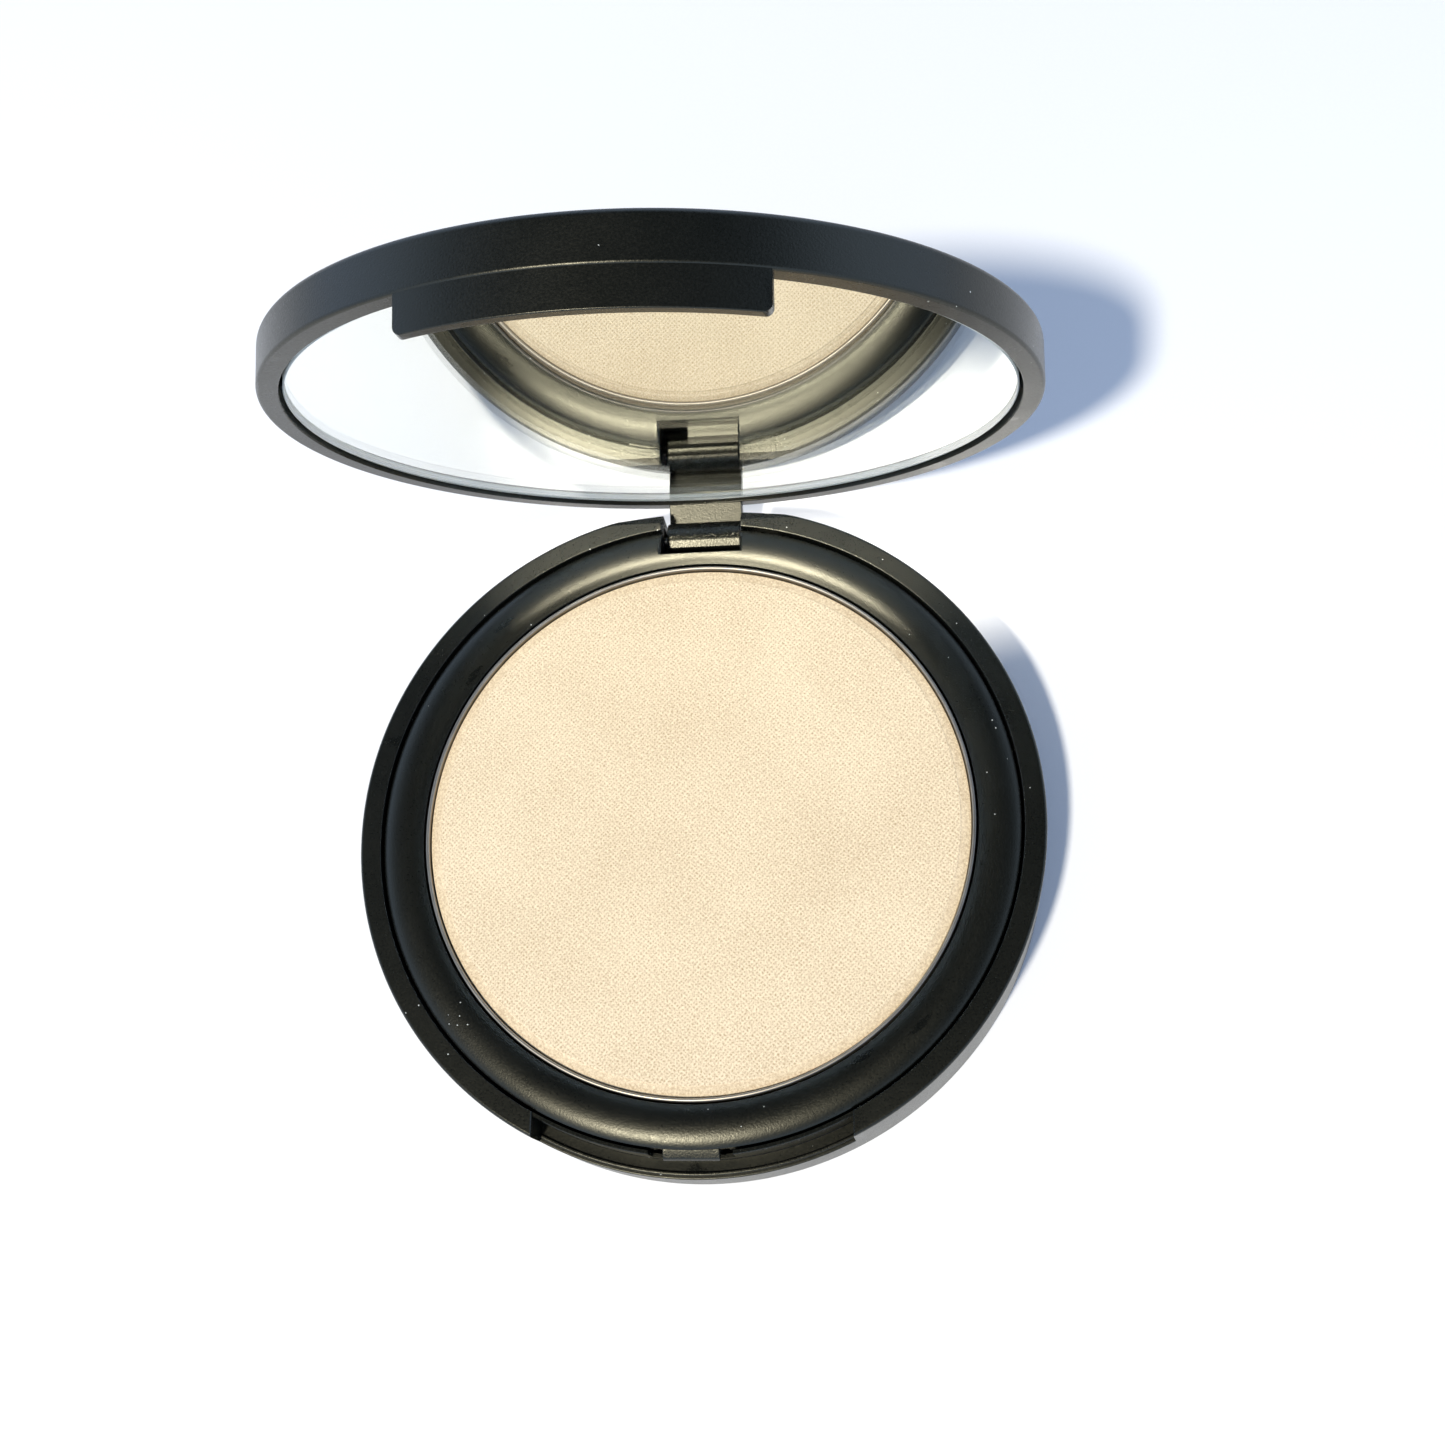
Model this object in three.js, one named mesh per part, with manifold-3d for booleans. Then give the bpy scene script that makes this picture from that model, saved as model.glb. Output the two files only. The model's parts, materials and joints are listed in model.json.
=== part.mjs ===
// Round powder compact with a mirrored lid, drawn open.
// Millimetres, +Z up. The origin is the centre of the underside, and the hinge is at +Y.
import * as THREE from 'three';
import { mergeVertices } from 'three/addons/utils/BufferGeometryUtils.js';
import Module from 'manifold-3d';

const wasm = await Module();
wasm.setup();

// Outline
const baseHeight = 10.5;          // table to the base's rim
const lidThickness = 4.55;
const partingGap = 0.15;          // between the two rims when shut
const openAngle = 77.5;           // degrees from shut, as the compact stands

// Base shell
const floorThickness = 1.2;
const baseRimWidth = 2.3;
const footRound = 0.6;
const rimRound = 0.35;
const rimBreak = 0.12;            // small break on a rim's inner edge

// Hinge
const pinInset = 2.15;            // outline to the pin's axis
const pinDrop = 4.2;              // base rim to the pin's axis
const pinRadius = 0.65;
const pinEndWall = 0.1;            // cheek left past the end of the pin's slot
const knuckleRadius = 2;
const toeStart = 190;             // the flat toe on the front of the knuckle, in degrees round the pin
const toeEnd = 214;
const toeReach = 0.1;             // toe's corner beyond the knuckle
const lugWidth = 8.4;
const lugSideGap = 0.3;           // lug to the notch's side
const notchFrontGap = 1.4;        // knuckle to the front of the notch
const heelGap = 0.6;              // knuckle to the bottom of the notch
const cheekWidth = 4;
const chamferBack = 1.75;         // rear bevel that the lid swings past
const chamferDrop = 1.5;

// Front finger recess and catch
const recessWidth = 32.6;
const recessDepth = 4.3;
const recessWall = 0.4;           // thin wall left behind the recess
const recessWallDrop = 0.35;
const lipWidth = 0.7;
const lipHeight = 0.35;
const tongueWidth = 5.8;
const tongueReach = 1;            // how far the tongue stands out of the tray
const tongueDrop = 0.8;           // base rim to the top of the tongue
const tongueHeight = 1.6;
const tongueRake = 0.2;
const slotWidth = 0.9;
const windowMargin = 1.4;
const beadSideGap = 0.4;          // bead narrower than the tongue, each side
const beadReach = 0.15;
const beadHeight = 0.5;

// Inner tray
const trayWall = 1;
const bezelWidth = 4.3;
const bezelInset = 0.15;          // bezel's inner edge below the rim
const bezelShoulder = 0.6;        // bezel's outer edge below the rim
const bezelCrown = 0.5;           // pull of the bezel's curve above the rim
const bezelUnderside = 1.55;
const trayFoot = 0.3;             // skirt to the base's floor
const ejectHoleRadius = 3;

// Powder pan, a standard 59 mm round pan
const panRadius = 29.5;
const panHeight = 4;
const panWall = 0.4;
const panRound = 0.8;
const panDrop = 0.1;              // base rim to the pan's lip
const powderDrop = 0.3;           // pan's lip to the powder
const powderSoftEdge = 0.5;
const glueThickness = 0.4;
const glueRadius = 18;

// Lid and mirror
const lidRimWidth = 2;
const lidEdgeRound = 0.6;
const tabSideGap = 1.55;          // tab to the end of the recess
const tabFloorGap = 0.75;         // shut tab to the recess's lip
const tabThickness = 1.2;
const tabCornerRound = 0.8;
const mirrorThickness = 1.8;
const mirrorInset = 0.35;         // lid rim to the glass
const mirrorEdgeBreak = 0.15;
const padThickness = 0.3;
const padMargin = 4;

// Label under the base
const labelRadius = 14;
const labelThickness = 0.15;

// Clearances
const trayGap = 0.3;              // base wall to tray
const pinGap = 0.2;
const panGap = 0.35;
const powderGap = 0.1;
const stackGap = 0.15;            // between stacked layers of the base
const mirrorGap = 0.35;
const padGap = 0.3;
const labelGap = 0.1;
const cheekGap = 0.3;

const roundSegments = 96;
const smallSegments = 32;

// Sizes and places that follow
const outerRadius = panRadius + panGap + bezelWidth + trayGap + baseRimWidth;
const notchWidth = lugWidth + 2 * lugSideGap;
const pinLength = notchWidth + 2 * (cheekWidth - pinEndWall - pinGap);
const beadWidth = tongueWidth - 2 * beadSideGap;
const tabWidth = recessWidth - 2 * tabSideGap;
const tabDepth = recessDepth - lipHeight + partingGap - tabFloorGap;
const wallInner = outerRadius - baseRimWidth;
const trayOuter = wallInner - trayGap;
const wellRadius = panRadius + panGap;
const panTop = baseHeight - panDrop;
const panBottom = panTop - panHeight;
const wellFloor = panBottom - 2 * stackGap - glueThickness;
const pinY = outerRadius - pinInset;
const pinZ = baseHeight - pinDrop;
const notchFront = pinY - knuckleRadius - notchFrontGap;
const notchBottom = pinZ - knuckleRadius - heelGap;
const cheekTop = pinZ + knuckleRadius;
const cheekOuter = notchWidth / 2 + cheekWidth;
const recessFloor = baseHeight - recessDepth;
const tongueTop = baseHeight - tongueDrop;
const tongueTip = trayOuter + tongueReach;
const lidRimInner = outerRadius - lidRimWidth;
const tabInner = outerRadius - tabThickness;
const mirrorRadius = lidRimInner - mirrorGap;
const mirrorBack = mirrorInset + mirrorThickness;
const padBack = mirrorBack + padGap + padThickness;
const lidRecess = padBack + padGap;
const pivotZ = -(pinDrop + partingGap);   // the pin's height in the lid's own frame
const beyond = outerRadius + 5;           // a cutter that must pass the outline ends here

// ---- solids ----

function toSolid(geometry) {
  const bare = geometry.clone();
  bare.deleteAttribute('normal');
  bare.deleteAttribute('uv');
  const merged = mergeVertices(bare, 1e-4);
  const corners = merged.index.array;
  const kept = [];
  for (let i = 0; i < corners.length; i += 3) {
    const [a, b, c] = [corners[i], corners[i + 1], corners[i + 2]];
    if (a !== b && b !== c && c !== a) kept.push(a, b, c);
  }
  const vertProperties = new Float32Array(merged.attributes.position.array);
  const triVerts = new Uint32Array(kept);
  return new wasm.Manifold(new wasm.Mesh({ numProp: 3, vertProperties, triVerts }));
}

function toGeometry(solid) {
  const { vertProperties, triVerts } = solid.getMesh();
  const geometry = new THREE.BufferGeometry();
  geometry.setAttribute('position', new THREE.BufferAttribute(vertProperties, 3));
  geometry.setIndex(new THREE.BufferAttribute(triVerts, 1));
  geometry.computeVertexNormals();
  return geometry;
}

// A profile of [radius, height] pairs, taken up the outside, turned about Z.
function turned(profile, segments = roundSegments) {
  const points = profile.map(([r, z]) => new THREE.Vector2(r, z));
  return toSolid(new THREE.LatheGeometry(points, segments).rotateX(Math.PI / 2));
}

function block([x0, x1], [y0, y1], [z0, z1]) {
  const box = new THREE.BoxGeometry(x1 - x0, y1 - y0, z1 - z0);
  return toSolid(box.translate((x0 + x1) / 2, (y0 + y1) / 2, (z0 + z1) / 2));
}

function drum(radius, [z0, z1]) {
  const cylinder = new THREE.CylinderGeometry(radius, radius, z1 - z0, roundSegments);
  return toSolid(cylinder.rotateX(Math.PI / 2).translate(0, 0, (z0 + z1) / 2));
}

// A round bar along X through [y, z].
function bar(radius, [y, z], width) {
  const cylinder = new THREE.CylinderGeometry(radius, radius, width, smallSegments);
  return toSolid(cylinder.rotateZ(Math.PI / 2).translate(0, y, z));
}

// A closed outline of [across, up] pairs, drawn on the plane of two axes and extruded to both sides.
function slab(outline, depth, across, up) {
  const shape = new THREE.Shape(outline.map(([a, b]) => new THREE.Vector2(a, b)));
  const geometry = new THREE.ExtrudeGeometry(shape, { depth, bevelEnabled: false });
  geometry.translate(0, 0, -depth / 2);
  const through = new THREE.Vector3().crossVectors(across, up);
  return toSolid(geometry.applyMatrix4(new THREE.Matrix4().makeBasis(across, up, through)));
}

const xAxis = new THREE.Vector3(1, 0, 0);
const yAxis = new THREE.Vector3(0, 1, 0);
const zAxis = new THREE.Vector3(0, 0, 1);

function pointAt([cx, cy], radius, degrees) {
  const angle = THREE.MathUtils.degToRad(degrees);
  return [cx + radius * Math.cos(angle), cy + radius * Math.sin(angle)];
}

function arc(centre, radius, startDegrees, endDegrees, steps) {
  const stepDegrees = (endDegrees - startDegrees) / steps;
  const angles = Array.from({ length: steps + 1 }, (_, i) => startDegrees + i * stepDegrees);
  return angles.map((degrees) => pointAt(centre, radius, degrees));
}

function bothSides(makeOne) {
  return makeOne(1).add(makeOne(-1));
}

// A span of x on one side of the middle plane.
function sideSpan(side, near, far) {
  return side > 0 ? [near, far] : [-far, -near];
}

// ---- base ----

function baseShell() {
  const pocket = labelThickness + labelGap;
  const pocketRadius = labelRadius + labelGap;
  const body = turned([
    [0, pocket],
    [pocketRadius, pocket],
    [pocketRadius, 0],
    ...arc([outerRadius - footRound, footRound], footRound, -90, 0, 4),
    ...arc([outerRadius - rimRound, baseHeight - rimRound], rimRound, 0, 90, 3),
    [wallInner + rimBreak, baseHeight],
    [wallInner, baseHeight - rimBreak],
    [wallInner, floorThickness],
    [0, floorThickness],
  ]);
  return body.add(bothSides(hingeCheek))
    .subtract(hingeNotch(notchBottom))
    .subtract(rearBevel())
    .subtract(bothSides(pinSaddle))
    .subtract(fingerRecess())
    .subtract(tongueWindow());
}

// A block beside the notch that the pin lies in.
function hingeCheek(side) {
  const cheek = block(
    sideSpan(side, notchWidth / 2, cheekOuter),
    [pinY - knuckleRadius, beyond],
    [floorThickness / 2, cheekTop],
  );
  return cheek.intersect(drum(wallInner + baseRimWidth / 2, [0, cheekTop]));
}

function hingeNotch(bottom) {
  return block([-notchWidth / 2, notchWidth / 2], [notchFront, beyond], [bottom, 2 * baseHeight]);
}

// The flat bevel on the rear of the rim, which lets the lid swing past.
function rearBevel() {
  const outline = [
    [outerRadius - chamferBack, baseHeight],
    [outerRadius, baseHeight - chamferDrop],
    [beyond, baseHeight - chamferDrop],
    [beyond, 2 * baseHeight],
    [outerRadius - chamferBack, 2 * baseHeight],
  ];
  return slab(outline, 2 * outerRadius, yAxis, zAxis);
}

// A slot, open at the top and round at the bottom, that the pin drops into.
function pinSaddle(side) {
  const radius = pinRadius + pinGap;
  const reach = pinLength / 2 + pinGap;
  const seat = bar(radius, [pinY, pinZ], 2 * reach);
  const way = block([-reach, reach], [pinY - radius, pinY + radius], [pinZ, cheekTop + pinGap]);
  const half = block(sideSpan(side, 0, beyond), [0, beyond], [0, baseHeight]);
  return seat.add(way).intersect(half);
}

function fingerRecess() {
  const halfWidth = recessWidth / 2;
  const opening = block([-halfWidth, halfWidth], [-beyond, 0], [recessFloor, 2 * baseHeight]);
  const wall = drum(wallInner + recessWall, [0, baseHeight - recessWallDrop]);
  const inside = drum(wallInner - trayGap, [0, 3 * baseHeight]);
  const lip = drum(beyond, [0, recessFloor + lipHeight])
    .subtract(drum(outerRadius - lipWidth, [0, baseHeight]));
  return opening.subtract(wall).subtract(inside).subtract(lip);
}

function tongueWindow() {
  const halfWidth = tongueWidth / 2 + windowMargin;
  const bottom = tongueTop - tongueHeight - windowMargin / 2;
  const middle = -(wallInner + recessWall / 2);
  const ySpan = [middle - recessWall * 2, middle + recessWall * 2];
  return block([-halfWidth, halfWidth], ySpan, [bottom, baseHeight]);
}

function innerTray() {
  const wallOuter = wellRadius + trayWall;
  const skirtInner = trayOuter - trayWall;
  const under = baseHeight - bezelUnderside;
  const bezel = new THREE.CubicBezierCurve(
    new THREE.Vector2(trayOuter, baseHeight - bezelShoulder),
    new THREE.Vector2(trayOuter - trayWall / 2, baseHeight + bezelCrown),
    new THREE.Vector2(wallOuter + trayWall / 3, baseHeight + bezelCrown),
    new THREE.Vector2(wellRadius + rimBreak, baseHeight - bezelInset),
  );
  const body = turned([
    [ejectHoleRadius, wellFloor - trayWall],
    [wallOuter, wellFloor - trayWall],
    [wallOuter, under],
    [skirtInner, under],
    [skirtInner, floorThickness + trayFoot],
    [trayOuter, floorThickness + trayFoot],
    ...bezel.getPoints(9).map((point) => [point.x, point.y]),
    [wellRadius, baseHeight - bezelInset - rimBreak],
    [wellRadius, wellFloor],
    [ejectHoleRadius, wellFloor],
    [ejectHoleRadius, wellFloor - trayWall],
  ]);
  return body.subtract(hingeNotch(0))
    .subtract(cheekRelief())
    .add(bothSides(pinKeeper))
    .subtract(bothSides(tongueSlot))
    .add(catchTongue());
}

// The room that the tray leaves for the hinge cheeks.
function cheekRelief() {
  const halfWidth = cheekOuter + cheekGap;
  return block(
    [-halfWidth, halfWidth],
    [pinY - knuckleRadius - cheekGap, beyond],
    [0, cheekTop + cheekGap],
  );
}

// A rib under the bezel that keeps the pin down in its slot.
function pinKeeper(side) {
  const span = sideSpan(side, notchWidth / 2 + cheekGap, cheekOuter - cheekWidth / 4);
  const rib = block(span, [pinY - pinRadius, pinY + pinRadius], [pinZ + pinRadius + pinGap, bezelMiddle()]);
  return rib.intersect(drum(trayOuter, [0, baseHeight]));
}

function bezelMiddle() {
  return baseHeight - (bezelUnderside + bezelShoulder) / 2;
}

function tongueSlot(side) {
  const span = sideSpan(side, tongueWidth / 2, tongueWidth / 2 + slotWidth);
  const inner = trayOuter - trayWall - trayGap;
  return block(span, [-beyond, -inner], [0, bezelMiddle()]);
}

// The spring tongue at the front, which the lid's bead clicks over.
function catchTongue() {
  const root = trayOuter - trayWall / 2;
  const outline = [
    [-root, tongueTop],
    [-root, tongueTop - tongueHeight],
    [-trayOuter, tongueTop - tongueHeight],
    [-tongueTip, tongueTop - tongueHeight / 2],
    [-tongueTip + tongueRake, tongueTop],
  ];
  return slab(outline, tongueWidth, yAxis, zAxis);
}

// ---- powder ----

function powderPan() {
  const inner = panRadius - panWall;
  return turned([
    [0, panBottom],
    ...arc([panRadius - panRound, panBottom + panRound], panRound, -90, 0, 3),
    [panRadius, panTop],
    [inner, panTop],
    [inner, panBottom + panWall],
    [0, panBottom + panWall],
  ]);
}

function pressedPowder() {
  const radius = panRadius - panWall - powderGap;
  const top = panTop - powderDrop;
  return turned([
    [0, panBottom + panWall + powderGap],
    [radius, panBottom + panWall + powderGap],
    ...arc([radius - powderSoftEdge, top - powderSoftEdge], powderSoftEdge, 0, 90, 4),
    [0, top],
  ]);
}

function panGlue() {
  const bottom = wellFloor + stackGap;
  return turned([
    [ejectHoleRadius * 2, bottom],
    [glueRadius, bottom],
    [glueRadius, bottom + glueThickness],
    [ejectHoleRadius * 2, bottom + glueThickness],
    [ejectHoleRadius * 2, bottom],
  ], smallSegments);
}

function shadeLabel() {
  return turned([
    [0, 0],
    [labelRadius, 0],
    [labelRadius, labelThickness],
    [0, labelThickness],
  ], smallSegments);
}

// ---- hinge pin, along X ----

function hingePin() {
  const half = pinLength / 2;
  const chamfer = pinRadius / 4;
  const pin = turned([
    [0, -half],
    [pinRadius - chamfer, -half],
    [pinRadius, -half + chamfer],
    [pinRadius, half - chamfer],
    [pinRadius - chamfer, half],
    [0, half],
  ], smallSegments);
  return pin.rotate([0, 90, 0]);
}

// ---- lid, in its own frame: origin at the centre of its rim's face, top at +Z when shut ----

function lidShell() {
  const body = turned([
    [0, lidRecess],
    [lidRimInner, lidRecess],
    [lidRimInner, rimBreak],
    [lidRimInner + rimBreak, 0],
    ...arc([outerRadius - rimRound, rimRound], rimRound, -90, 0, 3),
    ...arc([outerRadius - lidEdgeRound, lidThickness - lidEdgeRound], lidEdgeRound, 0, 90, 4),
    [0, lidThickness],
  ]);
  return body.add(frontTab()).add(catchBead()).add(hingeLug());
}

// The skirt at the front that hangs into the finger recess.
function frontTab() {
  const half = tabWidth / 2;
  const round = tabCornerRound;
  const outline = [
    [-half, lidRimWidth],
    ...arc([-half + round, round - tabDepth], round, 180, 270, 4),
    ...arc([half - round, round - tabDepth], round, 270, 360, 4),
    [half, lidRimWidth],
  ];
  const ring = drum(outerRadius, [-tabDepth, lidRimWidth / 2])
    .subtract(drum(tabInner, [-2 * tabDepth, lidRimWidth]));
  const front = block([-half, half], [-beyond, 0], [-2 * tabDepth, lidRimWidth]);
  return slab(outline, 2 * beyond, xAxis, zAxis).intersect(ring).intersect(front);
}

function catchBead() {
  const inner = tabInner - beadReach;
  const bottom = -tabDepth + beadReach;
  const ySpan = [-inner - tabThickness / 2, -inner];
  return block([-beadWidth / 2, beadWidth / 2], ySpan, [bottom, bottom + beadHeight]);
}

// The lug that reaches down into the notch and turns on the pin.
function hingeLug() {
  const neckFront = lidRimInner - pinY;
  const neckAngle = THREE.MathUtils.radToDeg(Math.acos(neckFront / knuckleRadius));
  const pin = [pinY, pivotZ];
  const outline = [
    [lidRimInner, lidRimWidth / 2],
    ...arc(pin, knuckleRadius, neckAngle, toeStart, 8),
    pointAt(pin, knuckleRadius + toeReach, toeEnd),
    ...arc(pin, knuckleRadius, 2 * toeEnd - toeStart, 360, 10),
    [outerRadius, pivotZ],
    [outerRadius, lidRimWidth / 2],
  ];
  return slab(outline, lugWidth, yAxis, zAxis)
    .intersect(drum(outerRadius, [2 * pivotZ, lidThickness]))
    .subtract(bar(pinRadius + pinGap, [pinY, pivotZ], 2 * lugWidth));
}

function mirrorGlass() {
  return turned([
    [0, mirrorInset],
    [mirrorRadius - mirrorEdgeBreak, mirrorInset],
    [mirrorRadius, mirrorInset + mirrorEdgeBreak],
    [mirrorRadius, mirrorBack],
    [0, mirrorBack],
  ]);
}

function mirrorPad() {
  const radius = mirrorRadius - padMargin;
  const front = mirrorBack + padGap;
  return turned([
    [0, front],
    [radius, front],
    [radius, padBack],
    [0, padBack],
  ], smallSegments);
}

// ---- assembly ----

function piece(name, solid, color, roughness, metalness = 0) {
  const material = new THREE.MeshStandardMaterial({ color, roughness, metalness });
  const mesh = new THREE.Mesh(toGeometry(solid), material);
  mesh.name = name;
  return mesh;
}

const satinBlack = 0x17181a;

function baseGroup() {
  const group = new THREE.Group();
  const pin = piece('hinge_pin', hingePin(), 0xb9bcc0, 0.3, 1);
  pin.position.set(0, pinY, pinZ);
  group.add(
    piece('base_shell', baseShell(), satinBlack, 0.42),
    piece('inner_tray', innerTray(), satinBlack, 0.42),
    piece('powder_pan', powderPan(), 0xc9cacb, 0.35, 1),
    piece('pressed_powder', pressedPowder(), 0xe6c9a4, 0.95),
    piece('pan_adhesive', panGlue(), 0xd9d3c0, 0.6),
    piece('shade_label', shadeLabel(), 0xf2f1ee, 0.8),
    pin,
  );
  return group;
}

function lidGroup() {
  const group = new THREE.Group();
  group.position.set(0, pinY, pinZ);
  group.rotation.x = -THREE.MathUtils.degToRad(openAngle);
  group.add(
    piece('lid_shell', lidShell(), satinBlack, 0.42),
    piece('mirror_glass', mirrorGlass(), 0xe9edf0, 0.03, 1),
    piece('mirror_adhesive', mirrorPad(), 0xeeeeea, 0.8),
  );
  for (const mesh of group.children) mesh.position.set(0, -pinY, -pivotZ);
  return group;
}

const compact = new THREE.Group();
compact.add(baseGroup(), lidGroup());

export default compact;
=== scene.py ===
import json
import math

import bpy
from mathutils import Matrix, Vector

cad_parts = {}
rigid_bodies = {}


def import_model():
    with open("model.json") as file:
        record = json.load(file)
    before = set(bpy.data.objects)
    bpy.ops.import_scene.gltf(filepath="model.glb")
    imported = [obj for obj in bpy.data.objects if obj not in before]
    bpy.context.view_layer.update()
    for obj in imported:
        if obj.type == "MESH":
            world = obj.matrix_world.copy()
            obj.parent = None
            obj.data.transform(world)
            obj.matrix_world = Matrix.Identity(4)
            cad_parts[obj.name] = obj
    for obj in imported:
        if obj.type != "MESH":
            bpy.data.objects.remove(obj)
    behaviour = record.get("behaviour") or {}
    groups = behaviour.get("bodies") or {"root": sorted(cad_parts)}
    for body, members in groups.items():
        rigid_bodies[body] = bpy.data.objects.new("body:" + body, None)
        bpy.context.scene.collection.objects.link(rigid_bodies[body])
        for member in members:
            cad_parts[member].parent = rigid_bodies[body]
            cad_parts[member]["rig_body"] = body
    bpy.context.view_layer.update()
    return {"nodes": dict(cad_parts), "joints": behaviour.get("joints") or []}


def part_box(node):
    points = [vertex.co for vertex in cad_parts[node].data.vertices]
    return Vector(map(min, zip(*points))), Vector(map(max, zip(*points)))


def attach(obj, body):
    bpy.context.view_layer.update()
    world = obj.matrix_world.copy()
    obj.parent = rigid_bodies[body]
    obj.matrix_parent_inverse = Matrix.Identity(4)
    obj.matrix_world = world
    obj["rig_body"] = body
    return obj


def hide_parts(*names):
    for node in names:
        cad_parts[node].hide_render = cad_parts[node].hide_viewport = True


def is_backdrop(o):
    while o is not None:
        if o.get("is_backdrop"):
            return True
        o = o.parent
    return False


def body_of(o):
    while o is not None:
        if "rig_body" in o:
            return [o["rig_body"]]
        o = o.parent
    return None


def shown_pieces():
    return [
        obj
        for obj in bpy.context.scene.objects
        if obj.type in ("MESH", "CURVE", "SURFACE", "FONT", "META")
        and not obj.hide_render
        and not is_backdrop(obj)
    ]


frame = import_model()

mm = 0.001  # every size below is in millimetres
print("frame loaded:", len(frame["nodes"]), "CAD nodes")

# sizes that the frame gives
hinge = frame["joints"][0]
pin = Vector(hinge["pos_m"]) / mm
openAngle = -math.radians(hinge["range_deg"][0])
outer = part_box("base_shell")[1].x / mm
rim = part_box("base_shell")[1].z / mm
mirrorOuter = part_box("mirror_glass")[1].x / mm
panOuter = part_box("powder_pan")[1].x / mm
panLow, panHigh = (corner.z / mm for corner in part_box("powder_pan"))
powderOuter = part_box("pressed_powder")[1].x / mm
powderLow, powderHigh = (corner.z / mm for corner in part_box("pressed_powder"))
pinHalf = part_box("hinge_pin")[1].x / mm
pinRound = (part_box("hinge_pin")[1].z / mm) - pin.z
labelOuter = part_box("shade_label")[1].x / mm
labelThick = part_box("shade_label")[1].z / mm
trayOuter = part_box("inner_tray")[1].x / mm

lidPivotDrop = 4.35  # lid's rim face to the pin, measured in the lid
lidPlace = (
    Matrix.Translation((0, pin.y * mm, pin.z * mm))
    @ Matrix.Rotation(-openAngle, 4, "X")
    @ Matrix.Translation((0, -pin.y * mm, lidPivotDrop * mm))
)


def putDown():
    if bpy.context.object and bpy.context.object.mode != "OBJECT":
        bpy.ops.object.mode_set(mode="OBJECT")
    bpy.ops.object.select_all(action="DESELECT")


def pickUp(piece):
    putDown()
    piece.select_set(True)
    bpy.context.view_layer.objects.active = piece


def drawPath(name, points):
    # one vertex, extruded from point to point
    putDown()
    bpy.ops.mesh.primitive_plane_add(size=mm, location=(0, 0, 0))
    piece = bpy.context.object
    piece.name = piece.data.name = name
    bpy.ops.object.mode_set(mode="EDIT")
    bpy.ops.mesh.select_mode(type="VERT")
    bpy.ops.mesh.merge(type="CENTER")
    corners = [Vector(point) * mm for point in points]
    bpy.ops.transform.translate(value=corners[0])
    for here, there in zip(corners, corners[1:]):
        bpy.ops.mesh.extrude_region_move(TRANSFORM_OT_translate={"value": there - here})
    return piece


def cleanUp(piece):
    pickUp(piece)
    bpy.ops.object.mode_set(mode="EDIT")
    bpy.ops.mesh.select_all(action="SELECT")
    bpy.ops.mesh.remove_doubles(threshold=0.0004 * mm)
    bpy.ops.mesh.dissolve_degenerate(threshold=0.0004 * mm)
    bpy.ops.mesh.normals_make_consistent(inside=False)
    bpy.ops.object.mode_set(mode="OBJECT")
    return piece


def turnPiece(name, profile, steps=240):
    # the profile is a list of radius and height, spun round the upright axis
    piece = drawPath(name, [(radius, 0, height) for radius, height in profile])
    bpy.ops.mesh.select_all(action="SELECT")
    bpy.ops.mesh.spin(steps=steps, angle=2 * math.pi, center=(0, 0, 0), axis=(0, 0, 1))
    bpy.ops.object.mode_set(mode="OBJECT")
    return cleanUp(piece)


def slabPiece(name, outline, width, across):
    # an outline drawn on one side, filled, and extruded right across
    side = Vector(across) * (-width / 2)
    piece = drawPath(name, [side + Vector(point) for point in outline])
    bpy.ops.mesh.select_all(action="SELECT")
    bpy.ops.mesh.edge_face_add()
    bpy.ops.mesh.select_all(action="SELECT")
    bpy.ops.mesh.extrude_region_move(TRANSFORM_OT_translate={"value": side * (-2 * mm)})
    bpy.ops.object.mode_set(mode="OBJECT")
    return cleanUp(piece)


def blockPiece(name, xSpan, ySpan, zSpan):
    putDown()
    spans = (xSpan, ySpan, zSpan)
    middle = [sum(span) / 2 * mm for span in spans]
    size = [(span[1] - span[0]) * mm for span in spans]
    bpy.ops.mesh.primitive_cube_add(size=1, location=middle, scale=size)
    piece = bpy.context.object
    piece.name = piece.data.name = name
    bpy.ops.object.transform_apply(location=True, rotation=True, scale=True)
    return piece


def flareTop(piece, flareFrom, flare):
    # the top of a block steps out by the same amount all round, so what it cuts gets a broken edge
    pickUp(piece)
    bpy.ops.object.mode_set(mode="EDIT")
    bpy.ops.mesh.select_mode(type="FACE")
    bpy.ops.mesh.select_all(action="DESELECT")
    bpy.ops.object.mode_set(mode="OBJECT")
    for face in piece.data.polygons:
        face.select = face.normal.z > 0.9
    top = max(vertex.co.z for vertex in piece.data.vertices)
    bpy.ops.object.mode_set(mode="EDIT")
    bpy.ops.transform.translate(value=(0, 0, flareFrom * mm - top))
    bpy.ops.mesh.extrude_region_move(TRANSFORM_OT_translate={"value": (0, 0, flare * mm)})
    bpy.ops.object.mode_set(mode="OBJECT")
    chosen = [vertex for vertex in piece.data.vertices if vertex.select]
    middle = sum((vertex.co for vertex in chosen), Vector()) / len(chosen)
    half = max(abs(vertex.co.x - middle.x) for vertex in chosen)
    deep = max(abs(vertex.co.y - middle.y) for vertex in chosen)
    bpy.ops.object.mode_set(mode="EDIT")
    bpy.ops.transform.resize(
        value=((half + flare * mm) / half, (deep + flare * mm) / deep, 1),
        center_override=middle,
    )
    bpy.ops.mesh.extrude_region_move(TRANSFORM_OT_translate={"value": (0, 0, 3 * mm)})
    bpy.ops.object.mode_set(mode="OBJECT")
    return piece


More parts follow.
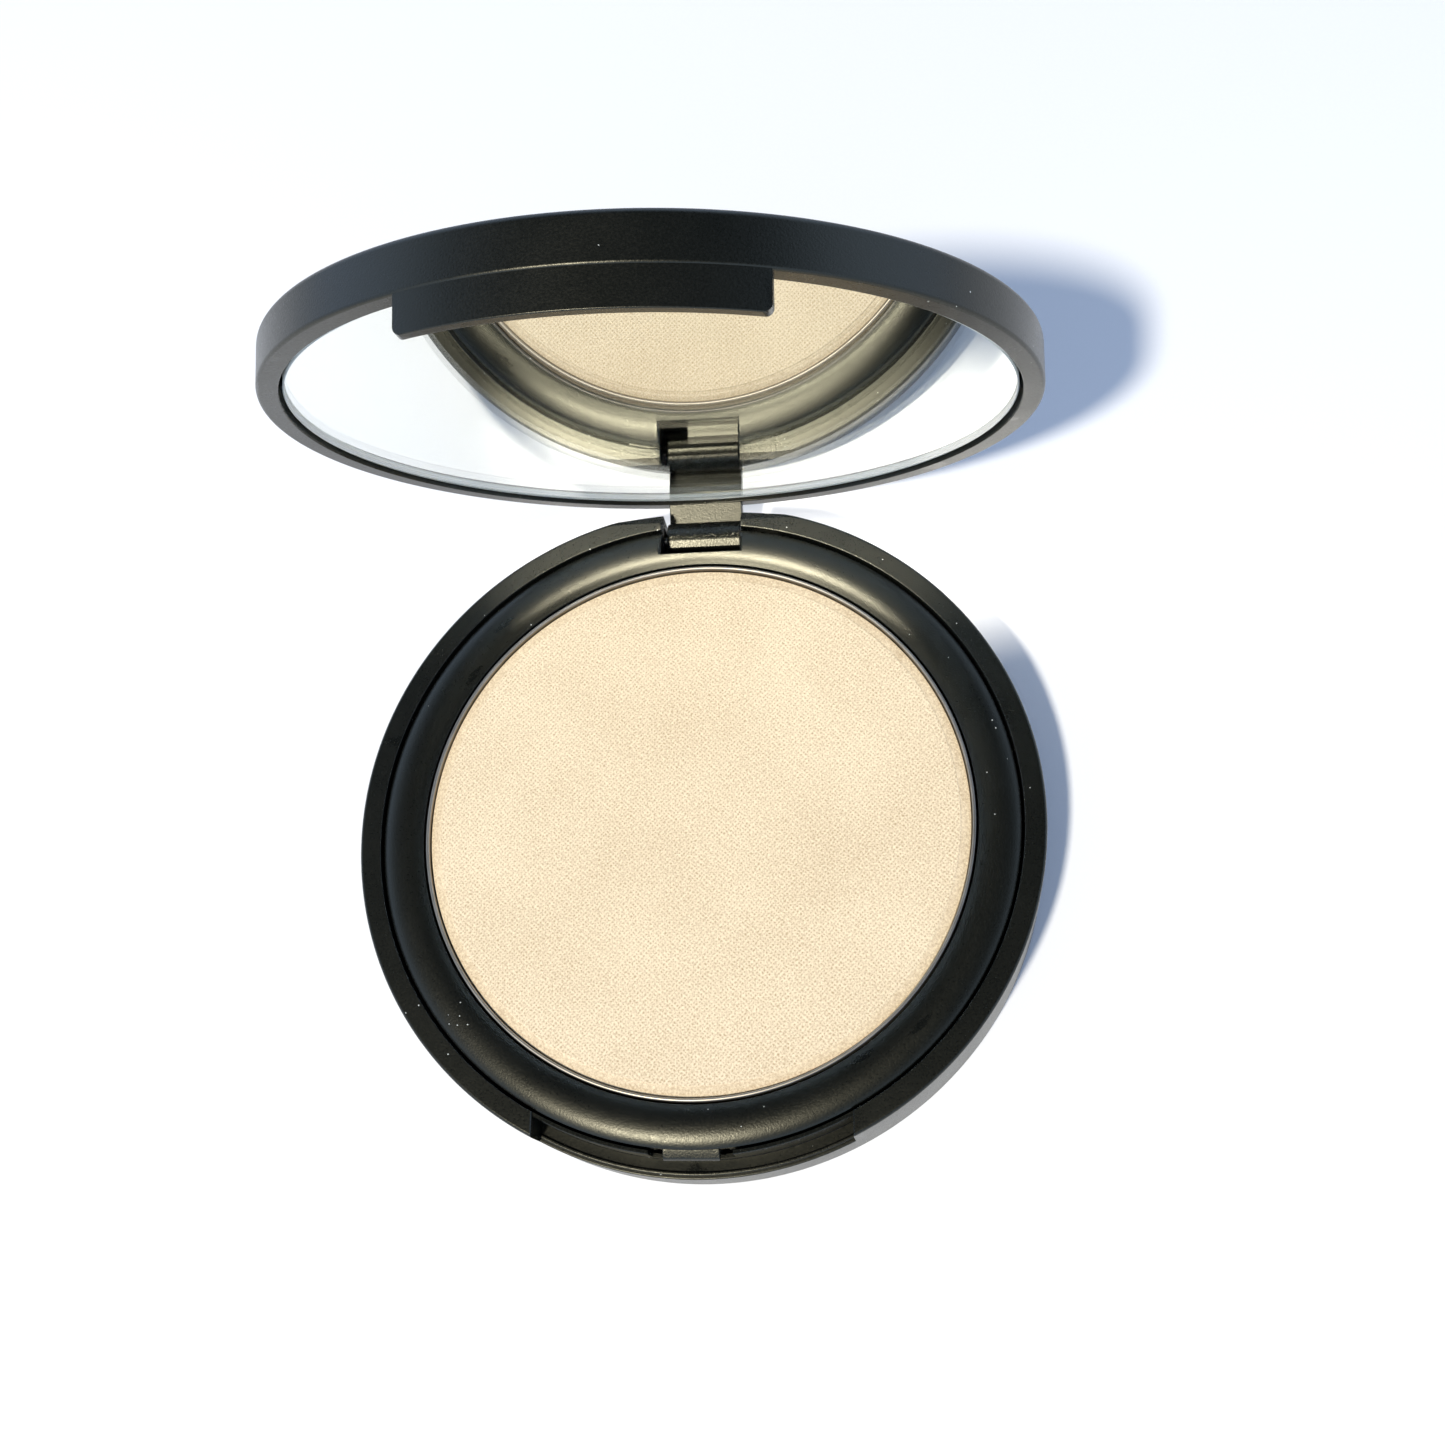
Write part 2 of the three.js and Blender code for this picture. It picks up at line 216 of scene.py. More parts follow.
def rodPiece(name, radius, y, z, width, sides=48):
    putDown()
    bpy.ops.mesh.primitive_cylinder_add(
        vertices=sides,
        radius=radius * mm,
        depth=width * mm,
        location=(0, y * mm, z * mm),
        rotation=(0, math.pi / 2, 0),
    )
    piece = bpy.context.object
    piece.name = piece.data.name = name
    bpy.ops.object.transform_apply(location=True, rotation=True, scale=True)
    return piece


def combine(piece, tool, operation):
    pickUp(piece)
    bpy.ops.object.modifier_add(type="BOOLEAN")
    cut = piece.modifiers[-1]
    cut.operation = operation
    cut.solver = "EXACT"
    cut.object = tool
    bpy.ops.object.modifier_apply(modifier=cut.name)
    pickUp(tool)
    bpy.ops.object.delete()
    return piece


def breakEdges(piece, width, segments=2, limit=40):
    pickUp(piece)
    bpy.ops.object.modifier_add(type="BEVEL")
    bevel = piece.modifiers[-1]
    bevel.width = width * mm
    bevel.segments = segments
    bevel.limit_method = "ANGLE"
    bevel.angle_limit = math.radians(limit)
    bevel.use_clamp_overlap = False
    bpy.ops.object.modifier_apply(modifier=bevel.name)
    return piece


def mirrored(piece):
    # a copy on the other side of the middle plane
    pickUp(piece)
    bpy.ops.object.duplicate()
    copy = bpy.context.object
    copy.scale.x = -1
    bpy.ops.object.transform_apply(location=True, rotation=True, scale=True)
    return cleanUp(copy)


def finishPiece(piece, body, nodes, materials, place=None, smoothAngle=32):
    if place:
        pickUp(piece)
        piece.matrix_world = place
        bpy.ops.object.transform_apply(location=True, rotation=True, scale=True)
    cleanUp(piece)
    pickUp(piece)
    bpy.ops.object.shade_smooth_by_angle(angle=math.radians(smoothAngle))
    bpy.ops.object.modifier_add(type="WEIGHTED_NORMAL")
    weighted = piece.modifiers[-1]
    weighted.keep_sharp = True
    bpy.ops.object.modifier_apply(modifier=weighted.name)
    for material in materials:
        piece.data.materials.append(material)
    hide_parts(*nodes)
    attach(piece, body)
    print("made", piece.name, "with", len(piece.data.polygons), "faces")
    return piece


def arcPoints(centre, radius, start, end, steps):
    turn = [math.radians(start + (end - start) * i / steps) for i in range(steps + 1)]
    return [(centre[0] + radius * math.cos(a), centre[1] + radius * math.sin(a)) for a in turn]


def bezierPoints(a, b, c, d, steps):
    points = []
    for i in range(steps + 1):
        t = i / steps
        weights = ((1 - t) ** 3, 3 * (1 - t) ** 2 * t, 3 * (1 - t) * t ** 2, t ** 3)
        points.append(tuple(sum(w * p[k] for w, p in zip(weights, (a, b, c, d))) for k in (0, 1)))
    return points


def srgb(code):
    channels = [int(code[i:i + 2], 16) / 255 for i in (1, 3, 5)]
    linear = [c / 12.92 if c <= 0.04045 else ((c + 0.055) / 1.055) ** 2.4 for c in channels]
    return (*linear, 1)


def addNode(material, kind, settings=None, links=None):
    node = material.node_tree.nodes.new("ShaderNode" + kind)
    for name, value in (settings or {}).items():
        if isinstance(name, str) and hasattr(node, name):
            setattr(node, name, value)
        else:
            node.inputs[name].default_value = value
    for name, source in (links or {}).items():
        material.node_tree.links.new(source, node.inputs[name])
    return node.outputs


def newMaterial(name):
    material = bpy.data.materials.new(name)
    material.use_nodes = True
    material.node_tree.nodes.clear()
    return material


def perMetre(size):
    return 1 / (size * mm)  # a pattern's scale, from its size


def placeOn(material, middle=(0, 0, 0), turn=0):
    spot = addNode(material, "TexCoord")["Object"]
    return addNode(
        material,
        "Mapping",
        {"Location": [-c * mm for c in middle], "Rotation": (0, 0, math.radians(turn))},
        {"Vector": spot},
    )[0]


blackAbs = {
    "body": "#060807",
    "bodyLight": "#0a0c0b",
    "dust": "#c9cbc4",
    "grain": 0.19,  # spark-eroded mould grain is nearer 0.05; drawn coarser so that it shows
    "grainDepth": 0.03,
    "cloud": 7,
    "patch": 9,     # dust lies in patches of about this size
    "dusty": 0.52,  # and only where the patches rise past this
    "sheen": "#fffbe2",
    "roughLow": 0.29,
    "roughHigh": 0.38,
    "dustCell": 1.1,
    "dustSize": 0.075,
    "scratch": 0.09,
}


def mouldedAbs(name, dustiness):
    # moulded ABS with a fine spark-eroded grain: near black, with a wide soft sheen and a little dust
    made = newMaterial(name)
    spot = placeOn(made)
    grain = addNode(made, "TexNoise", {"Scale": perMetre(blackAbs["grain"]), "Detail": 3.0, "Roughness": 0.6},
                    {"Vector": spot})[0]
    cloud = addNode(made, "TexNoise", {"Scale": perMetre(blackAbs["cloud"]), "Detail": 2.0},
                    {"Vector": spot})[0]
    patches = addNode(made, "TexNoise", {"Scale": perMetre(blackAbs["patch"]), "Detail": 1.0},
                      {"Vector": spot})[0]
    cells = addNode(made, "TexVoronoi", {"Scale": perMetre(blackAbs["dustCell"]), "Randomness": 1.0},
                    {"Vector": spot})
    speck = addNode(made, "Math", {"operation": "LESS_THAN", 1: blackAbs["dustSize"] / blackAbs["dustCell"]},
                    {0: cells["Distance"]})[0]
    chance = addNode(made, "SeparateColor", None, {0: cells["Color"]})[0]
    few = addNode(made, "Math", {"operation": "GREATER_THAN", 1: 1 - dustiness}, {0: chance})[0]
    where = addNode(made, "Math", {"operation": "GREATER_THAN", 1: blackAbs["dusty"]}, {0: patches})[0]
    dust = addNode(made, "Math", {"operation": "MULTIPLY"}, {0: speck, 1: few})[0]
    dust = addNode(made, "Math", {"operation": "MULTIPLY"}, {0: dust, 1: where})[0]
    body = addNode(made, "Mix", {
        "data_type": "RGBA",
        6: srgb(blackAbs["body"]),
        7: srgb(blackAbs["bodyLight"]),
    }, {0: cloud})[2]
    colour = addNode(made, "Mix", {"data_type": "RGBA", 7: srgb(blackAbs["dust"])}, {0: dust, 6: body})[2]
    worn = addNode(made, "NewGeometry")["Pointiness"]
    edge = addNode(made, "MapRange", {"From Min": 0.5, "From Max": 0.58}, {"Value": worn})[0]
    rough = addNode(made, "MapRange", {"To Min": blackAbs["roughLow"], "To Max": blackAbs["roughHigh"]},
                    {"Value": cloud})[0]
    fine = addNode(made, "Math", {"operation": "MULTIPLY_ADD", 1: 0.3, 2: -0.15}, {0: grain})[0]
    rough = addNode(made, "Math", {"operation": "ADD"}, {0: rough, 1: fine})[0]
    polished = addNode(made, "Math", {"operation": "MULTIPLY", 1: -blackAbs["scratch"]}, {0: edge})[0]
    rough = addNode(made, "Math", {"operation": "ADD"}, {0: rough, 1: polished})[0]
    relief = addNode(made, "Math", {"operation": "MULTIPLY_ADD", 1: 2.5}, {0: dust, 2: grain})[0]
    bump = addNode(made, "Bump", {"Strength": 0.6, "Distance": blackAbs["grainDepth"] * mm},
                   {"Height": relief})[0]
    shader = addNode(made, "BsdfPrincipled", {
        "IOR": 1.53,
        "Specular IOR Level": 0.45,
        "Specular Tint": srgb(blackAbs["sheen"]),
    }, {"Base Color": colour, "Roughness": rough, "Normal": bump})[0]
    addNode(made, "OutputMaterial", None, {"Surface": shader})
    return made


powderLook = {
    "warm": "#b99e76",
    "pale": "#f3e4c6",
    # the colour painted into the cloth's pits as shade
    "shade": "#a5855c",
    "thread": 0.36,   # the press cloth's thread spacing
    "threadDepth": 0.02,
    "grain": 0.24,
    "patch": 11,
    "sway": 0.55,    # length of a thread's wander
    "wander": 0.5,   # and how far it strays
    "pitShade": 0.36,
    "turn": 42,
    "faceEdge": 27.9,
}


def pressedPowder():
    # face powder pressed through a woven cloth: matt and warm, with the cloth's print, painted shade in the
    # weave's pits, and a little pearl
    made = newMaterial("powder pressed through cloth")
    spot = placeOn(made, turn=powderLook["turn"])
    wander = addNode(made, "TexNoise", {"Scale": perMetre(powderLook["sway"]), "Detail": 2.0},
                     {"Vector": spot})[1]
    sway = addNode(made, "VectorMath", {"operation": "MULTIPLY_ADD", 1: (powderLook["wander"] * mm,) * 3},
                   {0: wander, 2: spot})[0]
    bandPeriod = math.pi / 10  # one band of the wave texture at a scale of 1
    wave = {"wave_type": "BANDS", "Scale": perMetre(powderLook["thread"]) * bandPeriod, "Distortion": 0.0}
    weft = addNode(made, "TexWave", {**wave, "bands_direction": "X"}, {"Vector": sway})[1]
    warp = addNode(made, "TexWave", {**wave, "bands_direction": "Y"}, {"Vector": sway})[1]
    cloth = addNode(made, "Math", {"operation": "MAXIMUM"}, {0: weft, 1: warp})[0]
    grain = addNode(made, "TexNoise", {
        "Scale": perMetre(powderLook["grain"]),
        "Detail": 4.0,
        "Roughness": 0.7,
    }, {"Vector": spot})[0]
    patches = addNode(made, "TexNoise", {"Scale": perMetre(powderLook["patch"]), "Detail": 2.0},
                      {"Vector": spot})[0]
    apart = addNode(made, "SeparateXYZ", None, {0: addNode(made, "TexCoord")["Object"]})
    squareX = addNode(made, "Math", {"operation": "MULTIPLY"}, {0: apart[0], 1: apart[0]})[0]
    squareY = addNode(made, "Math", {"operation": "MULTIPLY"}, {0: apart[1], 1: apart[1]})[0]
    radius = addNode(made, "Math", {"operation": "ADD"}, {0: squareX, 1: squareY})[0]
    radius = addNode(made, "Math", {"operation": "SQRT"}, {0: radius})[0]
    face = addNode(made, "MapRange", {
        "From Min": (powderLook["faceEdge"] + 0.1) * mm,
        "From Max": (powderLook["faceEdge"] - 0.1) * mm,
    }, {"Value": radius})[0]
    mottle = addNode(made, "Math", {"operation": "MULTIPLY_ADD", 1: 0.14}, {0: patches, 2: grain})[0]
    mottle = addNode(made, "MapRange", {"From Min": 0.4, "From Max": 0.82}, {"Value": mottle})[0]
    weavePrint = addNode(made, "Math", {"operation": "MULTIPLY"}, {0: cloth, 1: face})[0]
    bare = addNode(made, "Math", {"operation": "MULTIPLY_ADD", 1: -0.22, 2: 0.22}, {0: face})[0]
    tone = addNode(made, "Math", {"operation": "MULTIPLY_ADD", 1: 0.4}, {0: weavePrint, 2: bare})[0]
    tone = addNode(made, "Math", {"operation": "ADD", "use_clamp": True}, {0: tone, 1: mottle})[0]
    colour = addNode(made, "Mix", {
        "data_type": "RGBA",
        6: srgb(powderLook["warm"]),
        7: srgb(powderLook["pale"]),
    }, {0: tone})[2]
    # painted shade: the weave's pits are darkened towards the shade colour
    low = addNode(made, "MapRange", {"From Max": 0.35, "To Min": powderLook["pitShade"], "To Max": 0.0},
                  {"Value": cloth})[0]
    low = addNode(made, "Math", {"operation": "MULTIPLY"}, {0: low, 1: face})[0]
    colour = addNode(made, "Mix", {"data_type": "RGBA", 7: srgb(powderLook["shade"])}, {0: low, 6: colour})[2]
    height = addNode(made, "Math", {"operation": "MULTIPLY_ADD", 1: 0.45}, {0: grain, 2: weavePrint})[0]
    bump = addNode(made, "Bump", {"Strength": 0.75, "Distance": powderLook["threadDepth"] * mm},
                   {"Height": height})[0]
    rough = addNode(made, "MapRange", {"To Min": 0.62, "To Max": 0.9}, {"Value": grain})[0]
    shader = addNode(made, "BsdfPrincipled",
                     {"IOR": 1.45, "Sheen Weight": 0.12, "Sheen Roughness": 0.5, "Diffuse Roughness": 0.6},
                     {"Base Color": colour, "Roughness": rough, "Normal": bump})[0]
    addNode(made, "OutputMaterial", None, {"Surface": shader})
    return made


panLook = {
    "dull": "#8f8779",
    "bright": "#b5aea1",
    "drawLine": 0.12,
    "cloud": 3,
}


def drawnAluminium():
    # deep-drawn aluminium pan, dulled by the powder on it: warm grey, with fine draw lines round it
    made = newMaterial("drawn aluminium")
    spot = placeOn(made)
    apart = addNode(made, "SeparateXYZ", None, {0: spot})
    up = addNode(made, "CombineXYZ", None, {2: apart[2]})[0]
    lines = addNode(made, "TexNoise", {"Scale": perMetre(panLook["drawLine"]), "Detail": 3.0},
                    {"Vector": up})[0]
    cloud = addNode(made, "TexNoise", {"Scale": perMetre(panLook["cloud"]), "Detail": 3.0},
                    {"Vector": spot})[0]
    colour = addNode(made, "Mix", {
        "data_type": "RGBA",
        6: srgb(panLook["dull"]),
        7: srgb(panLook["bright"]),
    }, {0: cloud})[2]
    rough = addNode(made, "MapRange", {"To Min": 0.34, "To Max": 0.5}, {"Value": cloud})[0]
    bump = addNode(made, "Bump", {"Strength": 0.3, "Distance": 0.01 * mm}, {"Height": lines})[0]
    shader = addNode(made, "BsdfPrincipled", {"Metallic": 1.0},
                     {"Base Color": colour, "Roughness": rough, "Normal": bump})[0]
    addNode(made, "OutputMaterial", None, {"Surface": shader})
    return made


pinLook = {
    "dull": "#8f9295",
    "bright": "#b7babd",
    "ring": 0.08,
}


def groundSteel():
    # centreless-ground steel pin: bright grey with very fine rings
    made = newMaterial("ground steel")
    spot = placeOn(made)
    apart = addNode(made, "SeparateXYZ", None, {0: spot})
    along = addNode(made, "CombineXYZ", None, {0: apart[0]})[0]
    rings = addNode(made, "TexNoise", {"Scale": perMetre(pinLook["ring"]), "Detail": 3.0},
                    {"Vector": along})[0]
    colour = addNode(made, "Mix", {
        "data_type": "RGBA",
        6: srgb(pinLook["dull"]),
        7: srgb(pinLook["bright"]),
    }, {0: rings})[2]
    rough = addNode(made, "MapRange", {"To Min": 0.22, "To Max": 0.36}, {"Value": rings})[0]
    bump = addNode(made, "Bump", {"Strength": 0.25, "Distance": 0.006 * mm}, {"Height": rings})[0]
    shader = addNode(made, "BsdfPrincipled", {"Metallic": 1.0},
                     {"Base Color": colour, "Roughness": rough, "Normal": bump})[0]
    addNode(made, "OutputMaterial", None, {"Surface": shader})
    return made


glassLook = {
    "clear": "#ffffff",
    "smeared": "#fcfefc",
    "smear": 6,
}


def floatGlass():
    # float glass, polished: clear, with the faintest smear where fingers have been
    made = newMaterial("polished float glass")
    spot = placeOn(made)
    smear = addNode(made, "TexNoise", {
        "Scale": perMetre(glassLook["smear"]),
        "Detail": 3.0,
        "Distortion": 1.2,
    }, {"Vector": spot})[0]
    rough = addNode(made, "MapRange", {"From Min": 0.6, "From Max": 0.85, "To Min": 0.0, "To Max": 0.035},
                    {"Value": smear})[0]
    tint = addNode(made, "Mix", {
        "data_type": "RGBA",
        6: srgb(glassLook["clear"]),
        7: srgb(glassLook["smeared"]),
    }, {0: smear})[2]
    shader = addNode(made, "BsdfPrincipled", {"IOR": 1.52, "Transmission Weight": 1.0},
                     {"Base Color": tint, "Roughness": rough})[0]
    addNode(made, "OutputMaterial", None, {"Surface": shader})
    return made


silverLook = {
    "bright": "#fcfdfb",
    "clouded": "#f9fbf8",
    "cloud": 15,
}


def silveredBack():
    # wet-silvered face under its paint: an even bright mirror
    made = newMaterial("wet silvered coating")
    spot = placeOn(made)
    cloud = addNode(made, "TexNoise", {"Scale": perMetre(silverLook["cloud"]), "Detail": 2.0},
                    {"Vector": spot})[0]
    colour = addNode(made, "Mix", {
        "data_type": "RGBA",
        6: srgb(silverLook["bright"]),
        7: srgb(silverLook["clouded"]),
    }, {0: cloud})[2]
    rough = addNode(made, "MapRange", {"To Min": 0.0, "To Max": 0.006}, {"Value": cloud})[0]
    shader = addNode(made, "BsdfPrincipled", {"Metallic": 1.0}, {"Base Color": colour, "Roughness": rough})[0]
    addNode(made, "OutputMaterial", None, {"Surface": shader})
    return made


edgeLook = {
    "frost": "#c3cfc8",
    "chip": "#f2f6f2",
    "wheelMark": 0.22,
}


def groundEdge():
    # diamond-ground glass edge: frosted and pale green, with fine wheel marks that catch the light
    made = newMaterial("diamond ground glass")
    spot = placeOn(made)
    marks = addNode(made, "TexNoise", {
        "Scale": perMetre(edgeLook["wheelMark"]),
        "Detail": 4.0,
        "Roughness": 0.7,
    }, {"Vector": spot})[0]
    colour = addNode(made, "Mix", {
        "data_type": "RGBA",
        6: srgb(edgeLook["frost"]),
        7: srgb(edgeLook["chip"]),
    }, {0: marks})[2]
    rough = addNode(made, "MapRange", {"To Min": 0.25, "To Max": 0.6}, {"Value": marks})[0]
    bump = addNode(made, "Bump", {"Strength": 0.8, "Distance": 0.04 * mm}, {"Height": marks})[0]
    shader = addNode(made, "BsdfPrincipled", {"IOR": 1.52, "Transmission Weight": 0.35},
                     {"Base Color": colour, "Roughness": rough, "Normal": bump})[0]
    addNode(made, "OutputMaterial", None, {"Surface": shader})
    return made


labelLook = {
    "paper": "#f1f0ec",
    "fibre": "#e8e7e2",
    "ink": "#c9a779",
    "line": "#3b3c3c",
    "fibreSize": 0.3,
    "swatch": 5,
    "ringRadius": 12.4,
    "ring": 0.25,
}


def printedLabel():
    # coated label paper: white, with a swatch of the shade and a thin ring, and faint fibre
    made = newMaterial("printed label paper")
    spot = placeOn(made)
    fibre = addNode(made, "TexNoise", {
        "Scale": perMetre(labelLook["fibreSize"]),
        "Detail": 5.0,
        "Distortion": 2.0,
    }, {"Vector": spot})[0]
    apart = addNode(made, "SeparateXYZ", None, {0: spot})
    flat = addNode(made, "CombineXYZ", None, {0: apart[0], 1: apart[1]})[0]
    radius = addNode(made, "VectorMath", {"operation": "LENGTH"}, {0: flat})["Value"]
    inSwatch = addNode(made, "Math", {"operation": "LESS_THAN", 1: labelLook["swatch"] * mm}, {0: radius})[0]
    inRing = addNode(made, "Math", {
        "operation": "COMPARE",
        1: labelLook["ringRadius"] * mm,
        2: labelLook["ring"] / 2 * mm,
    }, {0: radius})[0]
    paper = addNode(made, "Mix", {
        "data_type": "RGBA",
        6: srgb(labelLook["fibre"]),
        7: srgb(labelLook["paper"]),
    }, {0: fibre})[2]
    inked = addNode(made, "Mix", {"data_type": "RGBA", 7: srgb(labelLook["ink"])}, {0: inSwatch, 6: paper})[2]
    lined = addNode(made, "Mix", {"data_type": "RGBA", 7: srgb(labelLook["line"])}, {0: inRing, 6: inked})[2]
    bump = addNode(made, "Bump", {"Strength": 0.3, "Distance": 0.02 * mm}, {"Height": fibre})[0]
    rough = addNode(made, "MapRange", {"To Min": 0.45, "To Max": 0.65}, {"Value": fibre})[0]
    shader = addNode(made, "BsdfPrincipled", {"IOR": 1.5},
                     {"Base Color": lined, "Roughness": rough, "Normal": bump})[0]
    addNode(made, "OutputMaterial", None, {"Surface": shader})
    return made


def softFill(name, low, high, size, roughLow, roughHigh):
    made = newMaterial(name)
    spot = placeOn(made)
    lumps = addNode(made, "TexNoise", {"Scale": perMetre(size), "Detail": 4.0}, {"Vector": spot})[0]
    colour = addNode(made, "Mix", {"data_type": "RGBA", 6: srgb(low), 7: srgb(high)}, {0: lumps})[2]
    rough = addNode(made, "MapRange", {"To Min": roughLow, "To Max": roughHigh}, {"Value": lumps})[0]
    bump = addNode(made, "Bump", {"Strength": 0.5, "Distance": 0.05 * mm}, {"Height": lumps})[0]
    shader = addNode(made, "BsdfPrincipled", None,
                     {"Base Color": colour, "Roughness": rough, "Normal": bump})[0]
    addNode(made, "OutputMaterial", None, {"Surface": shader})
    return made


baseAbs = mouldedAbs("moulded ABS, base", 0.5)
lidAbs = mouldedAbs("moulded ABS, lid", 0.12)
trayAbs = mouldedAbs("moulded ABS, tray", 0.5)
# set hot-melt glue is milky and lumpy; foam tape is white with open cells
hotMelt = softFill("set hot-melt glue", "#cfc8b2", "#e6e0cf", 1.5, 0.3, 0.55)
foamTape = softFill("die-cut foam tape", "#dcdcd8", "#f2f2ef", 0.2, 0.75, 0.95)
print("materials ready")


hingeSizes = {
    "knuckle": 2.0,
    "lugWidth": 8.4,
    "notchWidth": 9.0,
    "notchGap": 1.4,
    "heelGap": 0.6,
    "cheekWidth": 4.0,
    "pinGap": 0.2,
    "cheekGap": 0.3,
}
halfNotch = hingeSizes["notchWidth"] / 2
notchFront = pin.y - hingeSizes["knuckle"] - hingeSizes["notchGap"]
notchBottom = pin.z - hingeSizes["knuckle"] - hingeSizes["heelGap"]
cheekTop = pin.z + hingeSizes["knuckle"]
cheekOuter = halfNotch + hingeSizes["cheekWidth"]
boreRadius = pinRound + hingeSizes["pinGap"]
beyond = outer + 5


base = {
    "floor": 1.2,
    "rimWidth": 2.3,
    "footRound": 0.6,
    "rimRound": 0.35,
    "rimBreak": 0.12,
    "pocketGap": 0.1,
    "cornerFillet": 0.4,
    "bevelBack": 1.75,
    "bevelDrop": 1.5,
    "edge": 0.1,
}
recess = {
    "width": 32.6,
    "depth": 4.3,
    "wall": 0.4,
    "wallDrop": 0.35,
    "lipStart": 0.72,   # outline to the inner foot of the lip
    "lipHeight": 0.35,
    "lipTop": 0.34,
    "lipRound": 0.14,   # catches the light in a fine line
    "stepDrop": 0.3,
    "windowHalf": 4.3,
    "windowBottom": 7.4,
}
wallInner = outer - base["rimWidth"]


def makeBase():
    pocket = labelThick + base["pocketGap"]
    pocketRadius = labelOuter + base["pocketGap"]
    foot, curve, soft = base["footRound"], base["rimRound"], base["rimBreak"]
    fillet = base["cornerFillet"]
    shell = turnPiece("base_shell_moulding", [
        (0, pocket),
        (pocketRadius, pocket),
        (pocketRadius, soft),
        (pocketRadius + soft, 0),
        *arcPoints((outer - foot, foot), foot, -90, 0, 10),
        *arcPoints((outer - curve, rim - curve), curve, 0, 90, 8),
        *arcPoints((wallInner + soft, rim - soft), soft, 90, 180, 4),
        *arcPoints((wallInner - fillet, base["floor"] + fillet), fillet, 0, -90, 5),
        (0, base["floor"]),
    ])
    # the flat bevel at the rear that the lid swings past
    pickUp(shell)
    bpy.ops.object.mode_set(mode="EDIT")
    bpy.ops.mesh.select_all(action="SELECT")
    bpy.ops.mesh.bisect(
        plane_co=(0, (outer - base["bevelBack"]) * mm, rim * mm),
        plane_no=Vector((0, base["bevelDrop"], base["bevelBack"])).normalized(),
        use_fill=True,
        clear_outer=True,
    )
    bpy.ops.object.mode_set(mode="OBJECT")
    cleanUp(shell)
    cheek = blockPiece("cheek", (halfNotch, cheekOuter), (pin.y - hingeSizes["knuckle"], outer + 1),
                       (base["floor"] / 2, cheekTop))
    breakEdges(cheek, base["edge"])
    inside = turnPiece("inside", [(0, 0), (wallInner + base["rimWidth"] / 2, 0),
                                  (wallInner + base["rimWidth"] / 2, 2 * rim), (0, 2 * rim)])
    combine(cheek, inside, "INTERSECT")
    combine(shell, mirrored(cheek), "UNION")
    combine(shell, cheek, "UNION")
    notch = blockPiece("notch", (-halfNotch, halfNotch), (notchFront, beyond), (notchBottom, rim))
    combine(shell, flareTop(notch, rim - base["edge"], base["edge"]), "DIFFERENCE")
    saddle = slabPiece("saddle", [
        *((0, y, z) for y, z in arcPoints((pin.y, pin.z), boreRadius, 180, 360, 16)),
        (0, pin.y + boreRadius, cheekTop + 0.2),
        (0, pin.y - boreRadius, cheekTop + 0.2),
    ], 2 * (pinHalf + hingeSizes["pinGap"]), (1, 0, 0))
    combine(shell, saddle, "DIFFERENCE")
    combine(shell, fingerRecess(), "DIFFERENCE")
    window = blockPiece("window", (-recess["windowHalf"], recess["windowHalf"]),
                        (-wallInner - 1, -wallInner + 0.6), (recess["windowBottom"], rim + 1))
    combine(shell, window, "DIFFERENCE")
    return finishPiece(shell, "base", ["base_shell"], [baseAbs])


def fingerRecess():
    floor = rim - recess["depth"]
    lipFoot = outer - recess["lipStart"]
    lipTop = floor + recess["lipHeight"]
    lipOut = lipFoot + recess["lipTop"]
    stepZ = lipTop - recess["stepDrop"]
    wallOut = wallInner + recess["wall"]
    soft = base["rimBreak"] / 2
    bright = recess["lipRound"]
    top = rim + 3
    ring = turnPiece("recess ring", [
        (wallOut, floor + soft),
        (wallOut + soft, floor),
        (lipFoot - soft, floor),
        (lipFoot, floor + soft),
        (lipFoot, lipTop - soft),
        (lipFoot + soft, lipTop),
        *arcPoints((lipOut - bright, lipTop - bright), bright, 90, 0, 5),
        (lipOut, stepZ),
        *arcPoints((outer - bright, stepZ - bright), bright, 90, 0, 5),
        (beyond, stepZ - bright),
        (beyond, top),
        (wallInner - 0.3, top),
        (wallInner - 0.3, rim - recess["wallDrop"]),
        (wallOut - soft, rim - recess["wallDrop"]),
        (wallOut, rim - recess["wallDrop"] - soft),
        (wallOut, floor + soft),
    ])
    half = recess["width"] / 2
    span = blockPiece("recess span", (-half, half), (-beyond - 1, 0), (floor - 1, rim))
    return combine(ring, flareTop(span, rim - base["edge"], base["edge"]), "INTERSECT")


makeBase()


tray = {
    "wall": 1.0,
    "bezelInset": 0.15,
    "bezelShoulder": 0.35,
    "bezelFlank": 0.95,
    "bezelCrown": 0.5,
    "bezelUnder": 1.55,
    "bezelBreak": 0.12,
    "footGap": 0.3,
    "wellGap": 0.22,
    "wellDrop": 0.7,    # pan to the well's floor
    "ejectHole": 3.0,
    "tongueWidth": 5.8,
    "tongueReach": 1.0,
    "tongueDrop": 0.8,
    "tongueHeight": 1.6,
    "tongueRake": 0.2,
    "tongueSlope": 0.36,
    "slotWidth": 0.9,
    "edge": 0.12,
}


